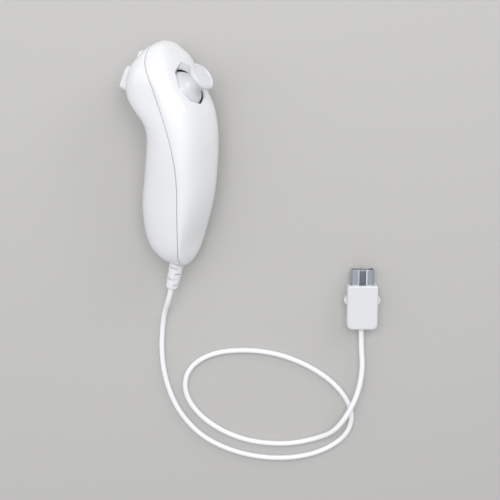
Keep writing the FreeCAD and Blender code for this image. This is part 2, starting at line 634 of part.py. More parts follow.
def lower_rocker():
    """The yoke that tilts up and down the grip: the stick's pin turns in it."""
    ends = MODULE_HALF
    bar = journals(X, ends)
    block = box((-BLOCK_HALF_X, BLOCK_HALF_X), (-BLOCK_HALF_Y, BLOCK_HALF_Y), (-BLOCK_HALF_Z, BLOCK_HALF_Z))
    swing = BLOCK_HALF_Z * math.tan(math.radians(STICK_RANGE)) + SHAFT_RADIUS / math.cos(math.radians(STICK_RANGE))
    slot = box((-swing - FIT, swing + FIT), (-SHAFT_RADIUS - FIT, SHAFT_RADIUS + FIT), (-3, 3))
    wiper = rod(WIPER_RADIUS, X * (ends + 0.7), X * (ends + 0.7 + WIPER_THICKNESS))
    spindle = rod(JOURNAL_RADIUS - 0.2, X * (ends - 0.5), X * (ends + 0.8))
    rocker = merged(bar, block, spindle, wiper)
    return rocker.cut([slot, rod(PIN_RADIUS + FIT / 2, Y * -5, Y * 5)])


def upper_rocker():
    """The arched yoke that tilts across the grip, with a slot that the lever slides in."""
    ends = MODULE_HALF
    outer = ARCH_RADIUS + ARCH_THICKNESS
    arch = tube(outer, ARCH_RADIUS, X * -ARCH_HALF, X * ARCH_HALF)
    arch = arch.cut(box((-9, 9), (-9, 9), (-9, 0)))
    feet = [rod(JOURNAL_RADIUS, Y * (s * ARCH_RADIUS), Y * (s * ends)) for s in (-1, 1)]
    cheeks = [box((-ARCH_HALF, ARCH_HALF), sorted((s * ARCH_RADIUS, s * outer)), (-1.4, 0.2)) for s in (-1, 1)]
    half = SHAFT_RADIUS + FIT
    slot = box((-half, half), (-ARCH_RADIUS + 0.7, ARCH_RADIUS - 0.7), (1, 9))
    wiper = rod(WIPER_RADIUS, Y * -(ends + 0.7), Y * -(ends + 0.7 + WIPER_THICKNESS))
    spindle = rod(JOURNAL_RADIUS - 0.2, Y * -(ends - 0.5), Y * -(ends + 0.8))
    return merged(arch, *feet, *cheeks, spindle, wiper).cut(slot)


def journal_holes():
    r = JOURNAL_RADIUS + FIT / 2
    return [rod(r, X * -9, X * 9), rod(r, Y * -9, Y * 9)]


def module_base():
    """The open box under the stick that holds the spring and the lower half of each bearing."""
    out, wall = MODULE_HALF, MODULE_HALF - MODULE_WALL
    tub = plate((-out, out), (-out, out), (MODULE_BOTTOM, -FIT / 2), 0.8)
    tub = tub.cut(plate((-wall, wall), (-wall, wall), (MODULE_FLOOR, 1), 0.5))
    peg = rod(SPRING_RADIUS - SPRING_WIRE / 2 - FIT, Z * (MODULE_FLOOR - 0.1), Z * (MODULE_FLOOR + 1.0))
    return merged(tub, peg).cut(journal_holes())


def module_cover():
    """The metal frame that closes the box over the rockers."""
    out, wall = MODULE_HALF, MODULE_HALF - MODULE_WALL * 0.7
    cover = plate((-out, out), (-out, out), (FIT / 2, MODULE_TOP), 0.8)
    cover = cover.cut(plate((-wall, wall), (-wall, wall), (-1, MODULE_TOP - 0.5), 0.5))
    return cover.cut(journal_holes() + [rod(COVER_HOLE, Z * 0, Z * 9)])


def position_sensors():
    """The two closed housings on the module's sides that read each rocker's turn."""
    low, high = MODULE_HALF + FIT / 2, MODULE_HALF + SENSOR_DEPTH
    case = box((low, high), (-SENSOR_HALF, SENSOR_HALF), (SENSOR_BOTTOM, SENSOR_TOP))
    cavity = rod(WIPER_RADIUS + FIT, X * (low + 0.5), X * (MODULE_HALF + 0.7 + WIPER_THICKNESS + FIT))
    case = case.cut([cavity, rod(JOURNAL_RADIUS, X * (low - 1), X * (low + 1))])
    side = FreeCAD.Placement(V(), FreeCAD.Rotation(Z, -90))
    return Part.makeCompound([case, at(side, case)])


def spring_plate():
    top = -FOOT_REACH - FIT
    return rod(PLATE_RADIUS, Z * (top - PLATE_THICKNESS), Z * top)


def return_spring():
    high = -FOOT_REACH - FIT - PLATE_THICKNESS
    return coil(SPRING_RADIUS, SPRING_WIRE, MODULE_FLOOR, high, SPRING_TURNS)


def stick_board():
    """The tilted board under the stick, with an ear for each post."""
    z = (STICK_BOARD_Z, MODULE_BOTTOM)
    heel = plate((-HEEL_POST[0] - 2.4, HEEL_POST[0] + 2.4), (-STICK_BOARD_HEEL, STICK_BOARD_NOSE), z, 1.5)
    ears = plate((-NOSE_POST[0] - 2.0, NOSE_POST[0] + 2.0), (NOSE_POST[1] - 2.4, STICK_BOARD_NOSE), z, 1.0)
    holes = [rod(SMALL_SCREW + FIT, p + Z * (z[0] - 1), p + Z * (z[1] + 1)) for p in stick_posts()]
    return merged(heel, ears).cut(holes)


def small_screw(head_from, axis):
    """A small cross-head screw: the head's outer face is at head_from, the shank goes along axis."""
    seat = head_from + axis * SMALL_HEAD_HEIGHT
    body_ = rod(SMALL_SCREW, seat - axis * 0.2, seat + axis * SMALL_SCREW_LENGTH)
    head = rod(SMALL_HEAD, head_from, seat)
    across = axis.cross(X if abs(axis.x) < 0.5 else Y).normalize()
    other = axis.cross(across)
    cuts = []
    for u, w in ((across, other), (other, across)):
        slot = box((-1.0, 1.0), (-0.2, 0.2), (-0.1, 0.5))
        frame = FreeCAD.Placement(head_from, FreeCAD.Rotation(u, w, axis, "ZXY"))
        cuts.append(at(frame, slot))
    return merged(body_, head).cut(cuts)


def stick_board_screws():
    return Part.makeCompound([at(STICK, small_screw(p + Z * (STICK_BOARD_Z - SMALL_HEAD_HEIGHT), Z))
                              for p in stick_posts()])


def button_board_screws():
    return Part.makeCompound([at(DECK, small_screw(p + Z * (BUTTON_BOARD_M - SMALL_HEAD_HEIGHT), Z))
                              for p in button_posts()])


def main_board_screws():
    return Part.makeCompound([small_screw(p + Z * (MAIN_BOARD_Z + BOARD + SMALL_HEAD_HEIGHT), Z * -1)
                              for p in main_posts()])


def shell_screws():
    """The two long screws that pull the back onto the thumb side, with hexagonal sockets."""
    screws = []
    for y in SHELL_SCREW_Y:
        seat = V(0, y, shell_screw_seat(y))
        head = rod(SHELL_HEAD, seat - Z * SHELL_HEAD_HEIGHT, seat)
        shank = rod(SHELL_SCREW, seat - Z * 0.2, V(0, y, screw_tip(y)))
        corners = [seat + V(1.4 * math.cos(k * math.pi / 3), 1.4 * math.sin(k * math.pi / 3), -SHELL_HEAD_HEIGHT - 0.1)
                   for k in range(6)]
        socket = Part.Face(Part.makePolygon(corners + corners[:1])).extrude(Z * 1.2)
        screws.append(merged(head, shank).cut(socket))
    return Part.makeCompound(screws)


# Buttons on the deck, in the deck's frame: P up the nose is its Y, M outwards is its Z

def z_button():
    """The trigger: a hollow slab that swings about a pin at its upper edge."""
    high = max(Z_HEIGHT_LOW, Z_HEIGHT_HIGH)
    slab = plate(*z_plan(0), (Z_LIP_TOP, high + 2), Z_CORNER)
    fall = math.degrees(math.atan2(Z_HEIGHT_HIGH - Z_HEIGHT_LOW, Z_HIGH - Z_LOW))
    slope = FreeCAD.Placement(V(0, Z_LOW, Z_HEIGHT_LOW), FreeCAD.Rotation(X, fall))
    slab = slab.cut(at(slope, box((-20, 20), (-20, 30), (0, 20))))
    rim = [e for e in slab.Edges
           if all(abs(slope.inverse().multVec(v.Point).z) < 1e-3 for v in e.Vertexes)]
    slab = slab.makeFillet(Z_EDGE, rim)
    inset = Z_SKIN
    hollow = plate((-Z_HALF_WIDTH + inset, Z_HALF_WIDTH - inset), (Z_LOW + inset, Z_HIGH - inset),
                   (Z_LIP_TOP - 3, Z_HEIGHT_HIGH - inset), Z_CORNER - 0.8)
    lip = plate(*z_plan(Z_LIP), (Z_LIP_TOP - BUTTON_LIP_THICKNESS, Z_LIP_TOP), Z_CORNER + Z_LIP)
    lip = lip.cut(box((-20, 20), (HINGE_P - HINGE_EAR_HALF - RUN, 20), (-9, 9)))
    stem_at = V(0, Z_STEM, 0)
    stem = rod(STEM_RADIUS, stem_at + Z * (DOME_PAD_TOP + FIT), stem_at + Z * (Z_HEIGHT_HIGH - inset + 0.2))
    shell = merged(slab, lip).cut(hollow)
    ears = [box(sorted((s * (Z_HALF_WIDTH - 0.2), s * (Z_HALF_WIDTH - 0.2 - HINGE_EAR))),
                (HINGE_P - 2.6, HINGE_P + HINGE_RADIUS + 0.8),
                (HINGE_M - HINGE_RADIUS - 0.7, Z_LIP_TOP)) for s in (-1, 1)]
    pin = rod(HINGE_RADIUS + FIT / 2, V(-20, HINGE_P, HINGE_M), V(20, HINGE_P, HINGE_M))
    return merged(shell, stem, *ears).cut(pin)


def z_hinge_pin():
    reach = Z_HALF_WIDTH + RUN + HINGE_EAR - 0.3
    return rod(HINGE_RADIUS, V(-reach, HINGE_P, HINGE_M), V(reach, HINGE_P, HINGE_M))


def c_button():
    """The small upper button, which slides straight in."""
    top = plate(*c_plan(0), (C_LIP_TOP, C_HEIGHT), C_HALF_LENGTH - 0.01)
    top = top.makeFillet(C_EDGE, upper_edges(top, C_HEIGHT))
    lip = plate(*c_plan(C_LIP), (C_LIP_TOP - BUTTON_LIP_THICKNESS, C_LIP_TOP), C_HALF_LENGTH + C_LIP - 0.01)
    stem_at = V(0, C_MIDDLE, 0)
    stem = rod(STEM_RADIUS, stem_at + Z * (DOME_PAD_TOP + FIT), stem_at + Z * C_LIP_TOP)
    return merged(top, lip, stem)


def dome_pad():
    """The rubber sheet with a dome under each button's stem."""
    sheet = plate((-BUTTON_POST[0] + 2.2, BUTTON_POST[0] - 2.2), (BUTTON_BOARD_LOW, BUTTON_BOARD_HIGH),
                  (PAD_M, PAD_M + PAD_THICKNESS), 1.5)
    domes, hollows = [], []
    for p in (Z_STEM, C_MIDDLE):
        low = PAD_M + PAD_THICKNESS
        dome = Part.makeCone(DOME_PAD_RADIUS, STEM_RADIUS, DOME_PAD_TOP - low, V(0, p, low), Z)
        inside = Part.makeCone(DOME_PAD_RADIUS - 0.5, STEM_RADIUS - 0.5, DOME_PAD_TOP - 0.6 - PAD_M, V(0, p, PAD_M), Z)
        domes.append(dome)
        hollows.append(inside)
    return merged(sheet, *domes).cut(hollows)


def button_board():
    board = plate((-BUTTON_BOARD_HALF, BUTTON_BOARD_HALF), (BUTTON_BOARD_LOW, BUTTON_POST[1] + 2.4),
                  (BUTTON_BOARD_M, PAD_M), 1.5)
    tongue = plate((-BUTTON_BOARD_TONGUE, BUTTON_BOARD_TONGUE), (BUTTON_POST[1], BUTTON_BOARD_HIGH),
                   (BUTTON_BOARD_M, PAD_M), 1.5)
    holes = [rod(SMALL_SCREW + FIT, p + Z * (BUTTON_BOARD_M - 1), p + Z * (PAD_M + 1)) for p in button_posts()]
    return merged(board, tongue).cut(holes)


# Main board

def main_board():
    board = plate((-MAIN_BOARD_HALF, MAIN_BOARD_HALF), (MAIN_BOARD_LOW, MAIN_BOARD_HIGH),
                  (MAIN_BOARD_Z, MAIN_BOARD_Z + BOARD), 2.0)
    return board.cut([rod(SMALL_SCREW + FIT, p + Z * (MAIN_BOARD_Z - 1), p + Z * (MAIN_BOARD_Z + 2))
                      for p in main_posts()])


def on_board(x, y, size):
    """A block of a given size that stands on the main board, centred at x, y."""
    low = MAIN_BOARD_Z + BOARD
    return box((x - size[0] / 2, x + size[0] / 2), (y - size[1] / 2, y + size[1] / 2), (low, low + size[2]))


def wire_headers():
    """The three wire connectors on the main board, each with a key along its top."""
    places = [(LOW_HEADER_X, LOW_HEADER_Y), (-HIGH_HEADER_X, HIGH_HEADER_Y), (HIGH_HEADER_X, HIGH_HEADER_Y)]
    headers = []
    for x, y in places:
        body = on_board(x, y, HEADER)
        key = on_board(x, y, (HEADER[0] - 3.0, HEADER[1] - 1.2, HEADER[2] + 0.6))
        headers.append(merged(body, key))
    return Part.makeCompound(headers)


def motion_chip():
    """The motion sensor with its round pin-one dimple."""
    chip = on_board(0, MOTION_CHIP_Y, SENSOR_CHIP)
    corner = V(-1.3, MOTION_CHIP_Y + 1.3, MAIN_BOARD_Z + BOARD + SENSOR_CHIP[2])
    return chip.cut(rod(0.3, corner - Z * 0.15, corner + Z))


def board_components():
    """The small parts round the two chips, each with its own place."""
    places = [(x, y, (1.0, 2.0, 0.9)) for y in (35.0, 38.5) for x in (-8.0, -6.2, 6.2, 8.0)]
    places += [(x, 51.0, (2.0, 1.2, 0.8)) for x in (-3.2, 0.0, 3.2)]
    places += [(0.0, 32.6, (4.8, 2.0, 1.6))]
    return Part.makeCompound([on_board(*p) for p in places])


def control_chip():
    """The controller chip with its rows of legs."""
    x, y, h = CONTROL_CHIP
    middle = CHIP_Y
    low = MAIN_BOARD_Z + BOARD
    chip = box((-x / 2, x / 2), (middle - y / 2, middle + y / 2), (low + 0.15, low + h))
    legs = []
    for side in (-1, 1):
        for k in range(6):
            across = (k - 2.5) * 1.0
            legs.append(box(sorted((side * (x / 2 - 0.1), side * (x / 2 + 0.9))),
                            (middle + across - 0.2, middle + across + 0.2), (low, low + 0.35)))
    return merged(chip, *legs)


def wires(path, across, count):
    """Parallel insulated wires side by side along one path that doesn't turn back on itself."""
    level = [Z.cross(b - a).normalize() for a, b in zip(path, path[1:])]
    sideways = [(a + b) / (1 + a.dot(b)) for a, b in zip(level[:1] + level, level + level[-1:])]
    runs = []
    for k in range(count):
        shift = (k - (count - 1) / 2) * across
        runs.append(routed([p + side * shift for p, side in zip(path, sideways)], WIRE_RADIUS))
    return Part.makeCompound(runs)


def wire_height():
    return MAIN_BOARD_Z + BOARD + HEADER[2] / 2


def cord_wires():
    """The wires from the cord's end, round the lower screw boss, to the lower connector."""
    start = RELIEF.multVec(Z * TAIL_INSIDE)
    z = wire_height()
    end_y = LOW_HEADER_Y - HEADER[1] / 2
    past_boss = SHELL_SCREW + BOSS_WALL + 2 * WIRE_RADIUS + 1.8
    path = [start, RELIEF.multVec(Z * (TAIL_INSIDE + 2.2)), V(past_boss, SHELL_SCREW_Y[0] - 1.8, z),
            V(LOW_HEADER_X, end_y - 2.5, z), V(LOW_HEADER_X, end_y, z)]
    return wires(path, 2 * WIRE_RADIUS + FIT, 3)


def stick_wires():
    z = wire_height()
    end_y = HIGH_HEADER_Y + HEADER[1] / 2
    x = -HIGH_HEADER_X - WIRE_RADIUS
    start = V(x, -STICK_BOARD_HEEL + 1.2, STICK_BOARD_Z)
    path = [STICK.multVec(start), STICK.multVec(start - Z * 3.2), V(x, end_y + 4.5, z), V(x, end_y, z)]
    return wires(path, 2 * WIRE_RADIUS + FIT, 4)


def button_wires():
    z = wire_height()
    end_y = HIGH_HEADER_Y + HEADER[1] / 2
    start = V(-HIGH_HEADER_X, BUTTON_BOARD_LOW + 1.0, BUTTON_BOARD_M)
    path = [DECK.multVec(start), DECK.multVec(start - Z * 1.8), V(HIGH_HEADER_X, GRIP_LENGTH - 37, -10.4),
            V(HIGH_HEADER_X, end_y + 5, z), V(HIGH_HEADER_X, end_y, z)]
    return wires(path, 2 * WIRE_RADIUS + FIT, 3)


# Strain relief, in its own frame: Z points into the grip

def relief_radius(z):
    """The taper of the ribbed sleeve from the grip to its free end."""
    share = (RELIEF_SEAT - z) / (RELIEF_SEAT + RELIEF_LENGTH)
    return RELIEF_TOP + (RELIEF_END - RELIEF_TOP) * share


def strain_relief():
    """A tapered sleeve cut by pairs of slots, each pair a quarter turn on from the last, with a
    flange inside the grip."""
    inside = RELIEF_SEAT + RELIEF_WALL + FIT
    end = -RELIEF_LENGTH
    tip = 1.0
    sleeve = spun(chain([(0, end), (RELIEF_END - tip, end),
                         [RELIEF_END - 0.3 * tip, end + 0.3 * tip], (RELIEF_END, end + tip),
                         (RELIEF_TOP, RELIEF_SEAT), (RELIEF_NECK, RELIEF_SEAT), (RELIEF_NECK, inside),
                         (RELIEF_FLANGE, inside), (RELIEF_FLANGE, inside + RELIEF_FLANGE_THICKNESS),
                         (0, inside + RELIEF_FLANGE_THICKNESS), (0, end)]))
    slots = []
    for k in range(SLOT_COUNT):
        high = -SLOT_FIRST - k * SLOT_PITCH
        ring = tube(RELIEF_TOP + 2, RELIEF_CORE, Z * (high - SLOT), Z * high)
        along, across = (-9, 9), (-BRIDGE / 2, BRIDGE / 2)
        slots.append(ring.cut(box(along, across, (-99, 99)) if k % 2 else box(across, along, (-99, 99))))
    bore = rod(CORD_RADIUS + FIT / 2, Z * (end - 1), Z * (inside + 9))
    return sleeve.cut(slots + [bore])


def cord_tail():
    """The cord's jacket where it passes through the sleeve and ends inside the grip."""
    return rod(CORD_RADIUS, Z * -RELIEF_LENGTH, Z * TAIL_INSIDE)


# Plug, in its own frame: X across, Y towards the mating end, Z up from the table

PLUG = FreeCAD.Placement(V(PLUG_X, PLUG_Y, 0), FreeCAD.Rotation())
PLUG_HALF, PLUG_MIDDLE = PLUG_WIDTH / 2, PLUG_THICKNESS / 2
LATCH_Y = PLUG_LENGTH - LATCH_MIDDLE


def shell_tube(grow, y):
    """The rectangular envelope of the metal shell, grown on every side."""
    half, tall = SHELL_WIDTH / 2 + grow, SHELL_HEIGHT / 2 + grow
    flat = plate((-half, half), (-tall, tall), y, 0.9 + grow)
    upright = FreeCAD.Placement(V(0, 0, PLUG_MIDDLE), FreeCAD.Rotation(X, -90))
    return at(upright, flat)


def plug_housing():
    """Both halves of the plug's cover: the lower one lies on the table."""
    whole = plate((-PLUG_HALF, PLUG_HALF), (0, PLUG_LENGTH), (0, PLUG_THICKNESS), PLUG_CORNER, PLUG_TOP_CORNER)
    whole = whole.makeFillet(PLUG_EDGE, upper_edges(whole, PLUG_THICKNESS) + upper_edges(whole, 0))
    wall = PLUG_WALL
    cavity = plate((-PLUG_HALF + wall, PLUG_HALF - wall), (wall, PLUG_LENGTH - wall),
                   (wall, PLUG_THICKNESS - wall), PLUG_CORNER - 1.0)
    mouth = shell_tube(FIT, (PLUG_LENGTH - SHELL_BURIED - 1, PLUG_LENGTH + 1))
    tail = rod(CORD_RADIUS + FIT / 2, V(0, -1, PLUG_MIDDLE), V(0, wall + 1, PLUG_MIDDLE))
    half, tall = LATCH_LENGTH / 2 + RUN, LATCH_HEIGHT / 2 + RUN
    windows = box((-20, 20), (LATCH_Y - half, LATCH_Y + half), (PLUG_MIDDLE - tall, PLUG_MIDDLE + tall))
    rib = box((-PLUG_RIB / 2, PLUG_RIB / 2), (LATCH_Y - 1.8, LATCH_Y + 1.8),
              (wall - 0.3, PLUG_THICKNESS - wall + 0.3))
    whole = merged(whole.cut([cavity, mouth, tail, windows]), rib)
    gap = FIT / 2
    lower = whole.common(box((-20, 20), (-20, 40), (-1, PLUG_MIDDLE - gap)))
    upper = whole.common(box((-20, 20), (-20, 40), (PLUG_MIDDLE + gap, 20)))
    return lower, upper


def plug_shell():
    """The metal sleeve round the contacts, with a channel pressed along its upper face."""
    y = (PLUG_LENGTH - SHELL_BURIED, PLUG_LENGTH + SHELL_SHOWS)
    past = (y[0] - 1, y[1] + 1)
    top = PLUG_MIDDLE + SHELL_HEIGHT / 2
    half = CHANNEL_WIDTH / 2
    channel = box((-half, half), past, (top - CHANNEL_DEPTH, top + 1))
    floor = box((-half - SHELL_SHEET, half + SHELL_SHEET), y, (top - CHANNEL_DEPTH - SHELL_SHEET, top))
    inside = shell_tube(-SHELL_SHEET, past).cut(floor)
    return shell_tube(0, y).cut([channel, inside])


def plug_tongue():
    """The white block behind the shell and the tongue that carries the contacts."""
    top = PLUG_MIDDLE + SHELL_HEIGHT / 2 - CHANNEL_DEPTH - SHELL_SHEET - FIT
    back = shell_tube(-SHELL_SHEET - FIT, (PLUG_LENGTH - SHELL_BURIED, PLUG_LENGTH - 1.0))
    back = back.common(box((-20, 20), (0, 90), (0, top)))
    half = TONGUE_HALF
    z = (PLUG_MIDDLE - TONGUE_THICKNESS / 2, PLUG_MIDDLE + TONGUE_THICKNESS / 2)
    tongue = box((-half, half), (PLUG_LENGTH - 2, PLUG_LENGTH + SHELL_SHOWS - TONGUE_INSET), z)
    return merged(back, tongue)


def plug_contacts():
    """Rows of gold strips that lie on both faces of the tongue."""
    strips = []
    thickness = 0.15
    for side in (-1, 1):
        face = PLUG_MIDDLE + side * TONGUE_THICKNESS / 2
        for k in range(CONTACT_COUNT):
            x = (k - (CONTACT_COUNT - 1) / 2) * CONTACT_PITCH
            strips.append(box((x - CONTACT_WIDTH / 2, x + CONTACT_WIDTH / 2),
                              (PLUG_LENGTH - 1.0, PLUG_LENGTH + SHELL_SHOWS - TONGUE_INSET - 0.6),
                              sorted((face, face + side * thickness))))
    return Part.makeCompound(strips)


def latch(side):
    """A side button with a round nose and its foot inside the plug: pressing it in frees the plug."""
    half, out = LATCH_LENGTH / 2, LATCH_STICKS_OUT
    z = (PLUG_MIDDLE - LATCH_HEIGHT / 2, PLUG_MIDDLE + LATCH_HEIGHT / 2)
    inner = PLUG_HALF - PLUG_WALL - RUN
    edges = [Part.LineSegment(V(inner, LATCH_Y - half, z[0]), V(PLUG_HALF, LATCH_Y - half, z[0])).toShape(),
             Part.Arc(V(PLUG_HALF, LATCH_Y - half, z[0]), V(PLUG_HALF + out, LATCH_Y, z[0]),
                      V(PLUG_HALF, LATCH_Y + half, z[0])).toShape(),
             Part.LineSegment(V(PLUG_HALF, LATCH_Y + half, z[0]), V(inner, LATCH_Y + half, z[0])).toShape(),
             Part.LineSegment(V(inner, LATCH_Y + half, z[0]), V(inner, LATCH_Y - half, z[0])).toShape()]
    pad = Part.Face(Part.Wire(edges)).extrude(Z * LATCH_HEIGHT)
    foot = box((inner - LATCH_FOOT, inner), (LATCH_Y - half - 0.9, LATCH_Y + half + 0.9), z)
    piece = merged(pad, foot)
    return piece if side > 0 else piece.mirror(V(), X)


def latch_spring(side):
    """The small coil between a latch's foot and the rib in the plug's middle."""
    low, high = PLUG_RIB / 2, PLUG_HALF - PLUG_WALL - RUN - LATCH_FOOT
    spring, gap = coil(LATCH_SPRING_RADIUS, LATCH_SPRING_WIRE, low, high, LATCH_SPRING_TURNS)
    lying = FreeCAD.Placement(V(0, LATCH_Y, PLUG_MIDDLE), FreeCAD.Rotation(Y, side * 90))
    return at(lying, spring), gap


def plug_tail():
    """The cord's jacket where it ends inside the plug, in its crimped collar."""
    end = PLUG_WALL + 2.6
    jacket = rod(CORD_RADIUS, V(0, 0, PLUG_MIDDLE), V(0, end, PLUG_MIDDLE))
    collar = tube(CORD_RADIUS + FIT / 2 + 0.5, CORD_RADIUS + FIT / 2,
                  V(0, PLUG_WALL + FIT, PLUG_MIDDLE), V(0, end - 0.3, PLUG_MIDDLE))
    return jacket, collar


def plug_wires():
    """Four wires from the cord's end that part round the middle rib to the contact block."""
    runs = []
    start, end = PLUG_WALL + 2.6, PLUG_LENGTH - SHELL_BURIED
    for side in (-1, 1):
        for level in (-1, 1):
            a = V(side * 0.55, start, PLUG_MIDDLE + level * 0.55)
            b = a + Y * 2.2
            d = V(side * 1.9, end, PLUG_MIDDLE + level * (LATCH_SPRING_RADIUS + WIRE_RADIUS + 0.8))
            runs.append(routed([a, b, d - Y * 6.4, d], WIRE_RADIUS))
    return Part.makeCompound(runs)


# The grip on the table, and the cord from it to the plug

def lying(shapes):
    """The placement that lays the grip on its side, its lowest point on the table and the middle
    of its box at the origin."""
    turn = FreeCAD.Rotation(Z, LEAN).multiply(FreeCAD.Rotation(X, PITCH)).multiply(FreeCAD.Rotation(Y, ROLL))
    turned = FreeCAD.Placement(V(), turn)
    corners = [p for s in shapes for p in at(turned, s).tessellate(0.05)[0]]
    low = [min(p[i] for p in corners) for i in range(3)]
    high = [max(p[i] for p in corners) for i in range(3)]
    return FreeCAD.Placement(V(-(low[0] + high[0]) / 2, -(low[1] + high[1]) / 2, -low[2]), turn)


TABLE_CORD = [(-5.7, -80.0, 1.5), (-7.1, -100.6, 1.4), (-4.3, -118.0, 1.4), (2.4, -133.6, 1.4),
              (14.4, -147.0, 1.4), (31.2, -155.3, 1.4), (49.5, -159.1, 1.4), (68.2, -158.3, 1.4),
              (83.8, -152.7, 1.4), (93.9, -143.2, 1.4), (94.6, -130.1, 1.4), (85.4, -117.0, 1.4),
              (70.6, -106.7, 1.4), (53.2, -100.0, 1.4), (34.5, -98.2, 1.4), (18.1, -100.7, 1.4),
              (6.9, -108.8, 1.4), (4.6, -121.1, 1.4), (11.7, -133.8, 1.4), (25.6, -144.2, 1.4),
              (42.6, -150.1, 1.4), (61.3, -151.0, 1.4), (76.0, -147.8, 1.4), (86.4, -141.0, 7.4),
              (96.3, -124.0, 7.4), (99.5, -108.0, 5.9)]


def cord_points(grip):
    """The cord's route: out of the sleeve, round its loop, over itself and into the plug."""
    leave = grip.multVec(RELIEF.multVec(Z * -RELIEF_LENGTH))
    ahead = grip.multVec(RELIEF.multVec(Z * (-RELIEF_LENGTH - 7.0)))
    into = PLUG.multVec(V(0, 0, PLUG_MIDDLE))
    return [leave, ahead] + [V(*p) for p in TABLE_CORD] + [into - Y * 9.5, into]


def save(name, shape):
    shape.exportStep("parts/" + name + ".step")


def grip_nodes():
    """Every piece of the grip, in the grip's own frame."""
    spring, gap = return_spring()
    print("return spring gap", round(gap, 3))
    in_stick = {"thumb_cap": thumb_cap(), "stick_shaft": stick_shaft(), "lower_rocker": lower_rocker(),
                "upper_rocker": upper_rocker(), "stick_module_base": module_base(),
                "stick_module_cover": module_cover(), "stick_position_sensors": position_sensors(),
                "stick_spring_plate": spring_plate(), "stick_return_spring": spring,
                "stick_board": stick_board()}
    in_deck = {"z_button": z_button(), "z_button_hinge_pin": z_hinge_pin(), "c_button": c_button(),
               "button_dome_pad": dome_pad(), "button_board": button_board()}
    nodes = {"front_shell": front_shell(), "rear_shell": rear_shell(), "shell_screws": shell_screws(),
             "stick_board_screws": stick_board_screws(), "button_board_screws": button_board_screws(),
             "main_board": main_board(), "main_board_screws": main_board_screws(),
             "motion_sensor_chip": motion_chip(), "control_chip": control_chip(),
             "board_components": board_components(), "wire_headers": wire_headers(),
             "cord_wires": cord_wires(), "stick_wires": stick_wires(), "button_wires": button_wires(),
             "strain_relief": at(RELIEF, strain_relief()), "cord_tail": at(RELIEF, cord_tail())}
    nodes.update({name: at(STICK, shape) for name, shape in in_stick.items()})
    nodes.update({name: at(DECK, shape) for name, shape in in_deck.items()})
    return nodes


def plug_nodes():
    """Every piece of the plug, in the plug's own frame."""
    lower, upper = plug_housing()
    jacket, collar = plug_tail()
    left_spring, gap = latch_spring(-1)
    print("latch spring gap", round(gap, 3))
    return {"plug_lower_cover": lower, "plug_upper_cover": upper, "plug_metal_shell": plug_shell(),
            "plug_tongue": plug_tongue(), "plug_contacts": plug_contacts(), "plug_latch_left": latch(-1),
            "plug_latch_right": latch(1), "latch_spring_left": left_spring,
            "latch_spring_right": latch_spring(1)[0], "plug_cord_end": jacket,
            "plug_crimp_collar": collar, "plug_wires": plug_wires()}


def main():
    os.makedirs("parts", exist_ok=True)
    pieces = grip_nodes()
    grip = lying([pieces[name] for name in ("front_shell", "rear_shell", "thumb_cap", "z_button", "c_button",
                                            "strain_relief")])
    nodes = {name: at(grip, shape) for name, shape in pieces.items()}
    nodes.update({name: at(PLUG, shape) for name, shape in plug_nodes().items()})
    points = cord_points(grip)
    nodes["cord"] = routed(points, CORD_RADIUS)
    for name, shape in nodes.items():
        save(name, shape)
        if not shape.isValid():
            print("not valid:", name)
    radii = bend_radii(points)
    length = sum(edge.Length for edge in route(points))
    print("cord radii", [round(r, 1) for r in radii])
    print("cord length", round(length, 1), "volume against section", round(
        nodes["cord"].Volume / (math.pi * CORD_RADIUS ** 2 * length), 4))
    print("grip", grip.Base, grip.Rotation.toEuler())
    for name, frame, point in (("pivot", STICK, V()), ("hinge", DECK, V(0, HINGE_P, HINGE_M))):
        whole = grip.multiply(frame)
        print(name, whole.multVec(point), [whole.Rotation.multVec(axis) for axis in (X, Y, Z)])


main()
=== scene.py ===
import math

import bmesh
import bpy
from mathutils import Matrix, Vector


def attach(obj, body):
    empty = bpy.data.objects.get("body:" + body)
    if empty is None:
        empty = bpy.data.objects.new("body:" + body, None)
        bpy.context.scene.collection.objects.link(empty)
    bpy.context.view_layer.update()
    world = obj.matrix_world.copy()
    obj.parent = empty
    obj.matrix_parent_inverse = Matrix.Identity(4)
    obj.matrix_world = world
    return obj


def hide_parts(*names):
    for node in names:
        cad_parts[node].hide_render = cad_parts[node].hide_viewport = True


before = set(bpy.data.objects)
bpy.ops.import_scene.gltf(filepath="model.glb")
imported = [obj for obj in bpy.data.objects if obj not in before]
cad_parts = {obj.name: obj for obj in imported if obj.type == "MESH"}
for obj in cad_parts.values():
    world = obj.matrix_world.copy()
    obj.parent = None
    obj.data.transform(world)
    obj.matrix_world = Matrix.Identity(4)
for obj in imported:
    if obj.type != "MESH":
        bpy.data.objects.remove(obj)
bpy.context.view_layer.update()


# Camera. The photograph looks almost straight down on the table, tipped a little towards the heel
# of the grip, from a little over half a metre away.
CAMERA_PLACE, CAMERA_TILT, CAMERA_LENS = (0.0400, 0.0696, 0.5890), -11.0, 82.8
camera_data = bpy.data.cameras.new("camera")
camera_data.lens = CAMERA_LENS
camera_data.sensor_width = 36.0
camera_data.clip_end = 20.0
camera = bpy.data.objects.new("camera", camera_data)
camera.location = CAMERA_PLACE
camera.rotation_euler = (math.radians(CAMERA_TILT), 0.0, 0.0)
bpy.context.scene.collection.objects.link(camera)
bpy.context.scene.camera = camera


